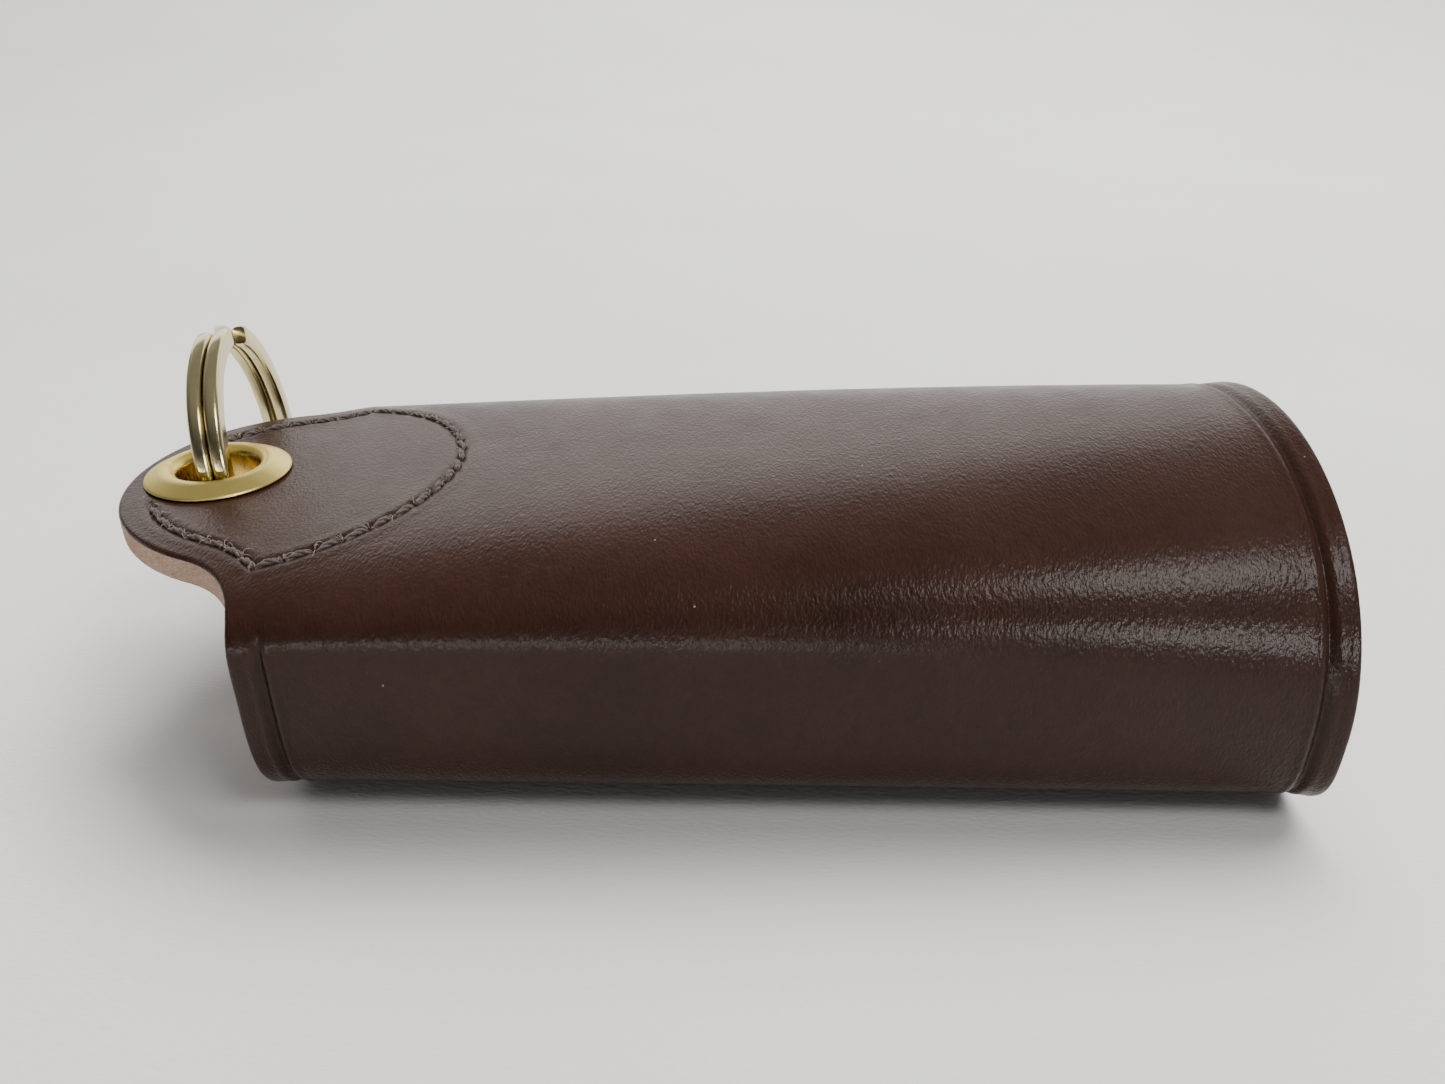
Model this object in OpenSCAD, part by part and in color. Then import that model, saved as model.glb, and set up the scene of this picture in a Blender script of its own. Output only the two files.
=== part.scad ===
// Wrap-around leather key case. A back panel with a tab at one end carries a brass
// eyelet and a split ring; two flaps fold round both long sides and snap together
// underneath. Inside the back panel, a riveted plate holds four swivelling key hooks.
// Frame: X along the case (tab towards -X), Z up, resting on its closed flaps at z = 0.

/* [Case body] */
// Length of the folded body without the tab
body_len = 96; // [80:1:120]
// Width across the two folds
body_w = 52.4; // [46:0.2:60]
// Height of the body at the tab end
left_h = 24; // [23:0.5:28]
// Height of the body at the plain end
right_h = 31.9; // [28:0.5:36]
// Height of the widest line of the folds at the tab end
left_waist = 15; // [13:0.5:16]
// Height of the widest line of the folds at the plain end
right_waist = 10.4; // [10.4:0.1:12]
// Squareness of the upper corners at the tab end
left_square = 4.6; // [3:0.1:6]
// Squareness of the upper corners at the plain end, where 2 is an ellipse
right_square = 2; // [2:0.1:3]
// Squareness of the lower corners
low_square = 3.8; // [3:0.1:5]
// Thickness of the bridle leather
leather_t = 1.8; // [1.4:0.1:2.2]

/* [Flaps] */
// How far past the middle the outer flap reaches underneath
near_reach = 18; // [16:0.5:20]
// How far before the middle the inner flap stops
far_reach = 2; // [1:0.5:4]
// Height of the underside of the inner flap
far_level = 6.2; // [6:0.1:7]
// Rise of the outer flap over the snap caps
snap_lift = 1.1; // [0.8:0.1:1.4]
// Height of both fold hinges
hinge_z = 10.5; // [9.5:0.1:10.5]

/* [Tab] */
// Length of the tab beyond the body
tab_len = 18.5; // [17:0.5:20]
// Radius of the round tip
tab_r = 18.5; // [17.5:0.5:19.5]
// Radius of the hollow shoulders
shoulder_r = 10; // [8:0.5:12]
// Thickness of the inner reinforcement
patch_t = 1; // [0.8:0.1:1.2]
// Radius of the reinforcement's round lobe
lobe_r = 21.5; // [21:0.5:22.5]
// Length of one stitch with its gap
stitch_pitch = 2.7; // [2.4:0.1:3.2]

/* [Eyelet and ring] */
// Outer diameter of the eyelet flange
eyelet_d = 14.2; // [13.6:0.2:15]
// Clear hole through the eyelet
eyelet_bore = 7.8; // [7.6:0.1:8.4]
// Outer diameter of the split ring
ring_d = 28; // [27:0.2:29]
// Width of the ring wire across the ring
ring_wire = 2.2; // [1.8:0.1:2.4]
// Thickness of one turn along the ring axis
ring_turn = 1.55; // [1.4:0.05:1.7]

/* [Key hooks] */
// Number of key hooks
hook_count = 4; // [4:1:4]
// Distance between two hooks
hook_gap = 8; // [7.6:0.1:8.2]
// Diameter of the rod that the hooks swing on
rod_d = 1.6; // [1.4:0.1:1.8]
// Wire diameter of a hook
hook_wire = 1.4; // [1.2:0.1:1.6]

/* [Snaps] */
// Diameter of a snap cap
cap_d = 12.4; // [11:0.2:13]
// Distance between the two snaps
snap_gap = 48; // [40:1:56]
// Offset of the snaps from the middle towards the far fold
snap_y = 10; // [9:0.5:11]

/* [Hidden] */
$fn = 48;

total_len = body_len + tab_len;
x_tip = -total_len / 2;
x_left = x_tip + tab_len;
x_right = total_len / 2;
x_mid = (x_left + x_right) / 2;
half_w = body_w / 2;
hinge_gap = 0.15;        // half the gap between a flap and the back panel
seam = 0.05;             // glue line between the reinforcement and the panel
curve_steps = 22;        // facets round one fold
flat_steps = 6;          // facets along the flat of a flap
lift_from = 8;           // the outer flap starts to rise this far before the middle
lift_run = 11;           // and has risen over this run, before the snap caps start
far_side = 1;
near_side = -1;

brown = "#4a3230";
tan = "#a88a72";
thread = "#3b2b2a";
brass = "#b99f4e";
pale_brass = "#d2c493";
steel = "#c9ccce";

// ---- Section of the leather wrap -------------------------------------------------
function clamp01(t) = min(1, max(0, t));
function smooth(t) = clamp01(t) * clamp01(t) * (3 - 2 * clamp01(t));
function along(x) = clamp01((x - x_left) / body_len);
function mix(a, b, t) = a + (b - a) * t;
function top_h(x) = mix(left_h, right_h, along(x));
function waist(x) = mix(left_waist, right_waist, along(x));
function square_up(x) = mix(left_square, right_square, along(x));
// Lowest level that the lower half of a fold runs down to
function floor_of(side) = side == far_side ? far_level : 0;
// Height above or below the widest line at angle a, on a skin inset by d
function drop(x, side) = waist(x) - floor_of(side);
function spow(v, e) = sign(v) * pow(abs(v), e);
function skin_y(x, a, d) =
    (half_w - d) * spow(cos(a), 2 / (a > 0 ? square_up(x) : low_square));
function skin_z(x, a, d, side) = waist(x) + (a > 0
    ? (top_h(x) - waist(x) - d) * pow(sin(a), 2 / square_up(x))
    : -(drop(x, side) - d) * pow(-sin(a), 2 / low_square));
// Angle, measured from the widest line, at which a skin passes the height z
function angle_at(x, z, d, side) = z >= waist(x)
    ? asin(pow((z - waist(x)) / (top_h(x) - waist(x) - d), square_up(x) / 2))
    : -asin(pow((waist(x) - z) / (drop(x, side) - d), low_square / 2));
// Height of the outer skin of the back panel above any point of the plan
function top_z(x, y, d = 0) = waist(x) + (top_h(x) - waist(x) - d)
    * pow(1 - pow(min(1, abs(y) / (half_w - d)), square_up(x)), 1 / square_up(x));
// The outer flap lifts off the floor towards its snaps
function lift(y) = snap_lift * smooth((y + lift_from) / lift_run);

// One skin of the back panel, from the near hinge over the top to the far hinge
function back_skin(x, d) =
    let (z = hinge_z + hinge_gap,
         near = angle_at(x, z, d, near_side),
         far = angle_at(x, z, d, far_side))
    concat(
        [for (i = [0 : curve_steps - 1]) let (a = mix(near, 90, i / curve_steps))
            [x, -skin_y(x, a, d), skin_z(x, a, d, near_side)]],
        [for (i = [0 : curve_steps]) let (a = mix(90, far, i / curve_steps))
            [x, skin_y(x, a, d), skin_z(x, a, d, far_side)]]);

// One skin of the outer flap, from the near hinge to its free edge
function near_skin(x, d) =
    let (start = angle_at(x, hinge_z - hinge_gap, d, near_side))
    concat(
        [for (i = [0 : curve_steps]) let (a = mix(start, -90, i / curve_steps),
            y = -skin_y(x, a, d)) [x, y, skin_z(x, a, d, near_side) + lift(y)]],
        [for (i = [1 : flat_steps]) let (y = near_reach * i / flat_steps)
            [x, y, d + lift(y)]]);

// One skin of the inner flap, from the far hinge to its free edge
function far_skin(x, d) =
    let (start = angle_at(x, hinge_z - hinge_gap, d, far_side),
         end = -acos(pow(far_reach / (half_w - d), low_square / 2)))
    [for (i = [0 : curve_steps]) let (a = mix(start, end, i / curve_steps))
        [x, skin_y(x, a, d), skin_z(x, a, d, far_side)]];

// Closed solid through a list of closed sections that all have the same length
module loft(sections) {
    n = len(sections[0]);
    last = len(sections) - 1;
    sides = [for (k = [0 : last - 1], i = [0 : n - 1]) let (j = (i + 1) % n)
        [k * n + i, k * n + j, (k + 1) * n + j, (k + 1) * n + i]];
    half = n / 2;
    // The section is a long thin strip, so each end is capped by quads across it
    caps = [for (k = [0, last], i = [0 : half - 2])
        let (q = [k * n + i, k * n + n - 1 - i, k * n + n - 2 - i, k * n + i + 1])
        k == 0 ? q : reversed(q)];
    polyhedron(points = [for (s = sections, p = s) p], faces = concat(sides, caps), convexity = 6);
}

body_stations = [for (i = [0 : 12]) mix(x_left, x_right, i / 12)];

// ---- Plan outlines ---------------------------------------------------------------
tip_cx = x_tip + tab_r;
shoulder_cx = x_left - shoulder_r;
shoulder_cy = sqrt(pow(tab_r + shoulder_r, 2) - pow(tip_cx - shoulder_cx, 2));
// Direction, from the tip's centre, in which the tip runs into the hollow shoulder
join_a = atan2(shoulder_cy, shoulder_cx - tip_cx);
arc_steps = 24;

function on_circle(cx, cy, r, a) = [cx + r * cos(a), cy + r * sin(a)];
function arc_points(cx, cy, r, a0, a1) =
    [for (i = [0 : arc_steps]) on_circle(cx, cy, r, mix(a0, a1, i / arc_steps))];
function flipped(v) = [for (p = v) [p[0], -p[1]]];
function reversed(v) = [for (i = [len(v) - 1 : -1 : 0]) v[i]];

// Body rectangle with the round tab, whose hollow shoulders run out at the body's end
module case_plan() {
    margin = 3;
    shoulder = arc_points(shoulder_cx, shoulder_cy, shoulder_r, 0, join_a - 180);
    polygon(concat([[x_right + margin, -half_w - margin], [x_right + margin, half_w + margin],
        [x_left, half_w + margin]], shoulder, arc_points(tip_cx, 0, tab_r, join_a, 360 - join_a),
        reversed(flipped(shoulder)), [[x_left, -half_w - margin]]));
}

lobe_x = x_left - 5;
module patch_plan() {
    intersection() {
        case_plan();
        translate([lobe_x, 0]) circle(lobe_r, $fn = 96);
    }
}

// ---- Leather ---------------------------------------------------------------------
module eyelet_axis() {
    translate([eyelet_x, 0, 0]) children();
}
eyelet_x = x_tip + 8.4;
barrel_d = eyelet_bore + 1.2;

module back_panel() color(brown) difference() {
    intersection() {
        loft([for (x = concat([x_tip - 1], body_stations))
            concat(back_skin(x, 0), reversed(back_skin(x, leather_t)))]);
        linear_extrude(right_h + 2) case_plan();
    }
    eyelet_axis() cylinder(h = right_h, d = barrel_d);
}

module near_flap() color(brown) difference() {
    loft([for (x = body_stations) concat(near_skin(x, 0), reversed(near_skin(x, leather_t)))]);
    at_snaps() cylinder(h = far_level, d = rivet_d);
}

module far_flap() color(brown) difference() {
    loft([for (x = body_stations) concat(far_skin(x, 0), reversed(far_skin(x, leather_t)))]);
    at_snaps() translate([0, 0, far_level - 1]) cylinder(h = leather_t + 2, d = rivet_d);
}

patch_end = lobe_x + lobe_r + 1;
module tab_reinforcement() color(tan) difference() {
    intersection() {
        loft([for (x = [x_tip - 1, x_left, patch_end])
            concat(patch_skin(x, leather_t + seam), reversed(patch_skin(x, leather_t + patch_t)))]);
        linear_extrude(right_h) patch_plan();
    }
    eyelet_axis() cylinder(h = right_h, d = barrel_d);
    at_plate_rivets() translate([0, 0, -1]) cylinder(h = 4, d = plate_rivet_d);
}
// Upper part of the wrap section, as far out as the reinforcement goes
patch_half_w = lobe_r + 0.5;
patch_steps = 12;
function patch_skin(x, d) = [for (i = [-patch_steps : patch_steps])
    let (y = patch_half_w * i / patch_steps) [x, y, top_z(x, y, d)]];

// ---- Stitching: one row of surface stitches along the tab and round the lobe --------
stitch_inset = 3;
stitch_d = 0.7;
stitch_gap = 0.5;
lobe_stitch_r = lobe_r - 2;
tip_stitch_r = tab_r - stitch_inset;
shoulder_stitch_r = shoulder_r + stitch_inset;
// The shoulder row and the lobe row meet where the two circles cross
corner_dx = shoulder_cx - lobe_x;
corner_d = norm([corner_dx, shoulder_cy]);
corner_s = (corner_d * corner_d + lobe_stitch_r * lobe_stitch_r
    - shoulder_stitch_r * shoulder_stitch_r) / (2 * corner_d);
lobe_turn = atan2(shoulder_cy, corner_dx) - acos(corner_s / lobe_stitch_r);
corner = [lobe_x + lobe_stitch_r * cos(lobe_turn), lobe_stitch_r * sin(lobe_turn)];
shoulder_turn = atan2(corner[1] - shoulder_cy, corner[0] - shoulder_cx);

// Stitch holes along an arc, about one pitch apart
function hole_arc(cx, cy, r, a0, a1) =
    let (n = max(1, round(abs(a1 - a0) * PI / 180 * r / stitch_pitch)))
    [for (i = [0 : n]) on_circle(cx, cy, r, mix(a0, a1, i / n))];

// One stitch, unless the eyelet's flange covers it
module stitch(p, q) {
    mid = (p + q) / 2;
    if (norm(mid - [eyelet_x, 0]) > eyelet_d / 2 + stitch_pitch / 2) laid_stitch(p, q);
}

module laid_stitch(p, q) {
    a = [p[0], p[1], top_z(p[0], p[1])];
    b = [q[0], q[1], top_z(q[0], q[1])];
    v = b - a;
    length = norm(v);
    translate(a + v * (stitch_gap / 2 / length) + [0, 0, stitch_d / 2])
        rotate([0, acos(v[2] / length), atan2(v[1], v[0])])
            cylinder(h = length - stitch_gap, d = stitch_d, $fn = 16);
}

module stitch_row(points) {
    for (i = [0 : len(points) - 2]) stitch(points[i], points[i + 1]);
}

module tab_stitching() color(thread) {
    tip = hole_arc(tip_cx, 0, tip_stitch_r, join_a, 360 - join_a);
    shoulder = hole_arc(shoulder_cx, shoulder_cy, shoulder_stitch_r, join_a - 180, shoulder_turn);
    stitch_row(tip);
    stitch_row(shoulder);
    stitch_row(flipped(shoulder));
    stitch_row(hole_arc(lobe_x, 0, lobe_stitch_r, -lobe_turn, lobe_turn));
}

// ---- Eyelet and washer -------------------------------------------------------------
tab_top = left_h;
washer_seat = 0.05;      // glue line between the washer and the reinforcement
tab_bottom = left_h - leather_t - patch_t - washer_seat;
washer_t = 0.8;
flange_rise = 1.1;
flange_seat = 0.15;
bore_r = eyelet_bore / 2;

module eyelet() color(brass) eyelet_axis() {
    seat = tab_top + flange_seat;
    rotate_extrude($fn = 96) polygon([
        [bore_r, tab_bottom - washer_t], [barrel_d / 2, tab_bottom - washer_t],
        [barrel_d / 2, seat], [eyelet_d / 2, seat], [eyelet_d / 2, seat + 0.25],
        [bore_r + 1.3, seat + flange_rise], [bore_r + 0.5, seat + flange_rise], [bore_r, seat + 0.6]]);
}

module eyelet_washer() color(brass) eyelet_axis()
    translate([0, 0, tab_bottom - washer_t]) difference() {
        cylinder(h = washer_t, d = eyelet_d - 1.2, $fn = 96);
        translate([0, 0, -1]) cylinder(h = washer_t + 2, d = barrel_d, $fn = 96);
    }

// ---- Split ring: two flat turns of one wire, joined by a slanting cross-over ---------
ring_gap = 0.05;         // half the gap between the two turns
ring_r = ring_d / 2;
ring_top = tab_top + 11.65;
ring_x = eyelet_x - 1.65;
ring_y = ring_r - ring_wire / 2 - 1.4;
ring_z = ring_top - ring_r;
ring_yaw = 9;            // the ring hangs a little askew in the eyelet
ring_tilt = -5.1;
cross_half = 12.5;       // half of the cross-over's sweep in degrees
cross_at = 167.5;        // where round the ring the cross-over sits, just past its top
wire_round = 0.45;

module turn(s) rotate([0, 0, cross_at + cross_half])
    rotate_extrude(angle = 360 - 2 * cross_half, $fn = 96) rounded_turn(s);

// Cross-section of one turn, with rounded edges, at a distance s along the ring axis
module rounded_turn(s) translate([ring_r - ring_wire, s - ring_turn / 2]) {
    translate([wire_round, 0]) square([ring_wire - 2 * wire_round, ring_turn]);
    translate([0, wire_round]) square([ring_wire, ring_turn - 2 * wire_round]);
    for (u = [wire_round, ring_wire - wire_round], v = [wire_round, ring_turn - wire_round])
        translate([u, v]) circle(wire_round, $fn = 24);
}

module split_ring() color(pale_brass)
    translate([ring_x, ring_y, ring_z]) rotate([0, ring_tilt, ring_yaw]) rotate([0, 90, 0]) {
        offset_s = ring_turn / 2 + ring_gap;
        turn(offset_s);
        turn(-offset_s);
        cross_over(offset_s);
    }

// The wire steps from one turn to the other across the gap that both turns leave
module cross_over(s) {
    steps = 8;
    overlap = 1;             // degrees that it runs into each turn
    trim = 0.1;              // it stays this far inside the skin of the turns
    r0 = ring_r - ring_wire + trim;
    r1 = ring_r - trim;
    h = ring_turn / 2 - trim;
    a0 = cross_at - cross_half - overlap;
    a1 = cross_at + cross_half + overlap;
    sections = [for (i = [0 : steps]) let (a = mix(a0, a1, i / steps), c = mix(-s, s, smooth(i / steps)))
        [[r0 * cos(a), r0 * sin(a), c - h], [r1 * cos(a), r1 * sin(a), c - h],
         [r1 * cos(a), r1 * sin(a), c + h], [r0 * cos(a), r0 * sin(a), c + h]]];
    sides = [for (k = [0 : steps - 1], i = [0 : 3]) let (j = (i + 1) % 4)
        [k * 4 + i, k * 4 + j, (k + 1) * 4 + j, (k + 1) * 4 + i]];
    polyhedron(points = [for (q = sections, p = q) p],
        faces = concat([[3, 2, 1, 0]], sides, [[for (i = [0 : 3]) steps * 4 + i]]));
}

// ---- Hook plate, rod and rivets: laid against the sloping reinforcement ----------------
plate_x = x_left + 7;
plate_w = 9;
plate_t = 0.8;
plate_len = hook_gap * (hook_count - 1) + 9;
plate_sink = 0.35;       // the plate's edges clear the curved leather above it
plate_top = top_z(plate_x, 0, leather_t + patch_t) - plate_sink;
slope = atan((right_h - left_h) / body_len);
knuckle_d = 3;
knuckle_bite = 0.35;     // how far the knuckles run into the plate
rod_u = -1.5;            // place of the rod from the plate's middle, along the slope
rod_v = -plate_t - knuckle_d / 2 + knuckle_bite;
rod_x = plate_x + rod_u * cos(slope) - rod_v * sin(slope);
rod_z = plate_top + rod_u * sin(slope) + rod_v * cos(slope);
eye_w = 2.6;             // width of a hook's eye along the rod
eye_gap = 0.3;           // gap on each side of the eye
knuckle_w = hook_gap - eye_w - 2 * eye_gap;
end_knuckle_w = 2.5;
plate_rivet_d = 2;
plate_rivet_u = 2.6;

function hook_y(k) = (k - (hook_count - 1) / 2) * hook_gap;

module on_slope() translate([plate_x, 0, plate_top]) rotate([0, -slope, 0]) children();

module at_plate_rivets() {
    for (s = [-1, 1]) on_slope() translate([plate_rivet_u, s * hook_gap, 0]) children();
}

// A round bar along Y from y0 to y1, on the hinge line of the hooks
module along_rod(y0, y1, d)
    translate([rod_x, y0, rod_z]) rotate([-90, 0, 0]) cylinder(h = y1 - y0, d = d);

module hook_plate() color(steel) difference() {
    union() {
        on_slope() translate([-plate_w / 2, -plate_len / 2, -plate_t]) cube([plate_w, plate_len, plate_t]);
        for (k = [0 : hook_count - 2]) {
            middle = (hook_y(k) + hook_y(k + 1)) / 2;
            along_rod(middle - knuckle_w / 2, middle + knuckle_w / 2, knuckle_d);
        }
        along_rod(-plate_len / 2, -plate_len / 2 + end_knuckle_w, knuckle_d);
        along_rod(plate_len / 2 - end_knuckle_w, plate_len / 2, knuckle_d);
    }
    along_rod(-plate_len, plate_len, rod_d);
    at_plate_rivets() translate([0, 0, -plate_t - 1]) cylinder(h = plate_t + 2, d = plate_rivet_d);
    // Clearance for the eyes to turn under the plate
    for (k = [0 : hook_count - 1])
        along_rod(hook_y(k) - eye_w / 2 - eye_gap, hook_y(k) + eye_w / 2 + eye_gap, knuckle_d + 0.7);
}

module hook_rod() color(steel) along_rod(-plate_len / 2, plate_len / 2, rod_d);

module plate_rivets() color(brass) at_plate_rivets() {
    head_t = 0.7;
    translate([0, 0, -plate_t - head_t]) cylinder(h = head_t, d1 = 2.6, d2 = 3.8);
    translate([0, 0, -plate_t]) cylinder(h = plate_t + plate_sink + patch_t - 0.2, d = plate_rivet_d);
}

// ---- Key hooks: an eye that swings on the rod, and a wire hook that swivels below it ---
stem_d = 1.6;
stem_clear = 0.04;       // running clearance round the stem
rod_clear = 0.04;        // running clearance round the rod
collar_h = 1.6;
collar_d = 4;
collar_gap = 0.2;        // play of the collar between the eye and the stem's foot
foot_d = 2.5;
foot_h = 0.6;
loop_w = 6.2;            // outside width of the hook's loop
loop_h = 7.6;            // drop of the loop below the middle of its collar

module at_hook(k) translate([rod_x, hook_y(k), rod_z]) children();

module hook_shank(k) color(steel) at_hook(k) difference() {
    foot_z = -knuckle_d / 2 - collar_h - 2 * collar_gap - foot_h;
    union() {
        translate([0, -eye_w / 2, 0]) rotate([-90, 0, 0]) cylinder(h = eye_w, d = knuckle_d);
        translate([0, 0, foot_z]) cylinder(h = -foot_z - rod_d / 2, d = stem_d);
        translate([0, 0, foot_z]) cylinder(h = foot_h, d = foot_d);
    }
    translate([0, -eye_w, 0]) rotate([-90, 0, 0]) cylinder(h = 2 * eye_w, d = rod_d + 2 * rod_clear);
}

// The loop is open on one side, where the key is slipped on
module key_hook(k) color(steel) at_hook(k) translate([0, 0, -knuckle_d / 2 - collar_gap - collar_h / 2]) {
    arm_x = (loop_w - hook_wire) / 2;
    root_x = stem_d / 2 + hook_wire / 2 + 0.2;
    shoulder_z = -0.9;
    tip_rise = 0.6;      // how far the free end stands above the bow
    bow_z = arm_x + hook_wire / 2 - loop_h;
    difference() {
        translate([0, 0, -collar_h / 2]) cylinder(h = collar_h, d = collar_d);
        translate([0, 0, -collar_h]) cylinder(h = 2 * collar_h, d = stem_d + 2 * stem_clear);
    }
    wire(concat([[root_x, 0.2], [arm_x, shoulder_z]],
        [for (a = [0 : -15 : -180]) [arm_x * cos(a), bow_z + arm_x * sin(a)]],
        [[-arm_x, bow_z + tip_rise]]));
    wire([[-root_x, 0.2], [-arm_x, shoulder_z], [-arm_x, shoulder_z - tip_rise]]);
}

// Round wire along points of the hook's own XZ plane
module wire(path) {
    sides = 12;
    last = len(path) - 1;
    rings = [for (i = [0 : last]) let (
        run = path[min(i + 1, last)] - path[max(i - 1, 0)],
        across = [run[1], -run[0]] / norm(run))
        [for (t = [0 : sides - 1]) let (a = 360 * t / sides, u = hook_wire / 2 * cos(a))
            [path[i][0] + across[0] * u, hook_wire / 2 * sin(a), path[i][1] + across[1] * u]]];
    walls = [for (i = [0 : last - 1], t = [0 : sides - 1]) let (n = (t + 1) % sides)
        [i * sides + t, (i + 1) * sides + t, (i + 1) * sides + n, i * sides + n]];
    polyhedron(points = [for (r = rings, p = r) p], faces = concat(walls,
        [[for (t = [0 : sides - 1]) t]], [[for (t = [sides - 1 : -1 : 0]) last * sides + t]]));
}

// ---- Snaps: cap, socket and spring on the outer flap; stud and post on the inner flap --
module at_snap(s) translate([x_mid + s * snap_gap / 2, snap_y, 0]) children();
module at_snaps() {
    for (s = [-1, 1]) at_snap(s) children();
}

rivet_d = 3;             // shanks of the cap and of the post
cap_h = snap_lift;
near_inner = snap_lift + leather_t;
socket_d = 10;
socket_bore = 5.8;
socket_t = 1.5;
stud_d = 9;
ball_d = 3.7;
spring_d = 0.5;

module snap_cap(s) color(brass) at_snap(s) {
    rotate_extrude($fn = 64) polygon([[0, 0], [cap_d / 2 - 1.2, 0], [cap_d / 2 - 0.4, 0.25],
        [cap_d / 2, 0.7], [cap_d / 2, cap_h], [0, cap_h]]);
    cylinder(h = near_inner, d = rivet_d);
}

module snap_socket(s) color(brass) at_snap(s) translate([0, 0, near_inner]) difference() {
    cylinder(h = socket_t, d = socket_d, $fn = 64);
    translate([0, 0, 0.4]) cylinder(h = socket_t, d = socket_bore, $fn = 64);
}

// Two straight spring wires that grip the stud from both sides
module snap_spring(s) color(steel) at_snap(s) {
    offset_x = ball_d / 2 + 0.15 + spring_d / 2;
    chord = sqrt(pow(socket_bore / 2, 2) - pow(offset_x + spring_d / 2, 2)) - 0.1;
    for (t = [-1, 1]) translate([t * offset_x, -chord, near_inner + socket_t - 0.45])
        rotate([-90, 0, 0]) cylinder(h = 2 * chord, d = spring_d, $fn = 24);
}

module snap_stud(s) color(brass) at_snap(s) {
    flange = 0.7;
    tip = 2.4;
    translate([0, 0, far_level - flange]) cylinder(h = flange, d = stud_d, $fn = 64);
    rotate_extrude($fn = 64) polygon([[0, far_level - tip], [ball_d / 2 - 0.4, far_level - tip],
        [ball_d / 2, far_level - tip + 0.35], [ball_d / 2, far_level - tip + 0.7],
        [ball_d / 2 - 0.3, far_level - tip + 1.1], [ball_d / 2 - 0.3, far_level], [0, far_level]]);
}

module snap_post(s) color(brass) at_snap(s) {
    post_t = 0.8;
    seat = 0.35;             // the rim clears the inner flap where it curves up to its fold
    top = far_level + leather_t + seat;
    translate([0, 0, top]) cylinder(h = post_t, d1 = 9.6, d2 = 8.4, $fn = 64);
    translate([0, 0, far_level]) cylinder(h = leather_t + seat, d = rivet_d);
}

back_panel();
near_flap();
far_flap();
tab_reinforcement();
tab_stitching();
eyelet();
eyelet_washer();
split_ring();
hook_plate();
hook_rod();
plate_rivets();
hook_shank(0);  // hook_shank_1
hook_shank(1);  // hook_shank_2
hook_shank(2);  // hook_shank_3
hook_shank(3);  // hook_shank_4
key_hook(0);  // key_hook_1
key_hook(1);  // key_hook_2
key_hook(2);  // key_hook_3
key_hook(3);  // key_hook_4
snap_cap(-1);  // snap_cap_1
snap_cap(1);  // snap_cap_2
snap_socket(-1);  // snap_socket_1
snap_socket(1);  // snap_socket_2
snap_spring(-1);  // snap_spring_1
snap_spring(1);  // snap_spring_2
snap_stud(-1);  // snap_stud_1
snap_stud(1);  // snap_stud_2
snap_post(-1);  // snap_post_1
snap_post(1);  // snap_post_2
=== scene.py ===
"""Looks of a wrap-around leather key case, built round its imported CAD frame.

Lengths of the part are in millimetres in its own frame, and turn into metres where
a mesh is made.
"""

import math

import bpy
import numpy as np
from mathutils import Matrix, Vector


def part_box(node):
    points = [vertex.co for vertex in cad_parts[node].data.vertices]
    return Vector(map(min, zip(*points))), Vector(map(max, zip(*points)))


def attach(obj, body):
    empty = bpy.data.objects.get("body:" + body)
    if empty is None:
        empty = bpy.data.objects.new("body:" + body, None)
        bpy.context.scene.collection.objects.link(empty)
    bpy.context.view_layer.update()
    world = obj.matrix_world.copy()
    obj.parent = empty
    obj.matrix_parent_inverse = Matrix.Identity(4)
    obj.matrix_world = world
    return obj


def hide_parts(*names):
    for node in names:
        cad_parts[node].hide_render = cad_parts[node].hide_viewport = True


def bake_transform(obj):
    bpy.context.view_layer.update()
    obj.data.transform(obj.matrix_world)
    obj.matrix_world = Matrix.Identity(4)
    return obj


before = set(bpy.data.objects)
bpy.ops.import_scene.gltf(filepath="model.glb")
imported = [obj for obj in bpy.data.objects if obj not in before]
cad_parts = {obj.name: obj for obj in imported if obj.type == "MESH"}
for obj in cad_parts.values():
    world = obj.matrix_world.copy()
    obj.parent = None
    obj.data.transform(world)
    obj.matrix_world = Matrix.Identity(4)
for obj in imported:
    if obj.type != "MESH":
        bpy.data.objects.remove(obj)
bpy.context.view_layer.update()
rng = np.random.default_rng(7)

MM = 0.001

# ---- Sizes of the part ---------------------------------------------------------------
BODY_LEN, TAB_LEN, BODY_W = 96.0, 18.5, 52.4
X_TIP = -(BODY_LEN + TAB_LEN) / 2
X_LEFT = X_TIP + TAB_LEN
X_RIGHT = -X_TIP
HALF_W = BODY_W / 2
LEFT_H, RIGHT_H = 24.0, 31.9
LEFT_WAIST, RIGHT_WAIST = 15.0, 10.4
LEFT_SQUARE, RIGHT_SQUARE, LOW_SQUARE = 4.6, 2.0, 3.8
LEATHER_T, PATCH_T = 1.8, 1.0
NEAR_REACH, FAR_REACH = 18.0, 2.0
FAR_LEVEL, SNAP_LIFT = 6.2, 1.1
TIP_R, SHOULDER_R, LOBE_R = 18.5, 10.0, 21.5
TIP_CX = X_TIP + TIP_R
SHOULDER_CX = X_LEFT - SHOULDER_R
SHOULDER_CY = math.sqrt((TIP_R + SHOULDER_R) ** 2 - (TIP_CX - SHOULDER_CX) ** 2)
JOIN_A = math.atan2(SHOULDER_CY, SHOULDER_CX - TIP_CX)
JOIN_Y = TIP_R * math.sin(JOIN_A)
LOBE_X = X_LEFT - 5
EYELET_X, EYELET_D, EYELET_BORE = X_TIP + 8.4, 14.2, 7.8
EYELET_WALL, WASHER_T = 0.6, 0.8
EYELET_CUT_R = EYELET_BORE / 2 + 1.0      # hole in both layers of leather
PATCH_HALF_W = LOBE_R - 0.35
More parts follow.
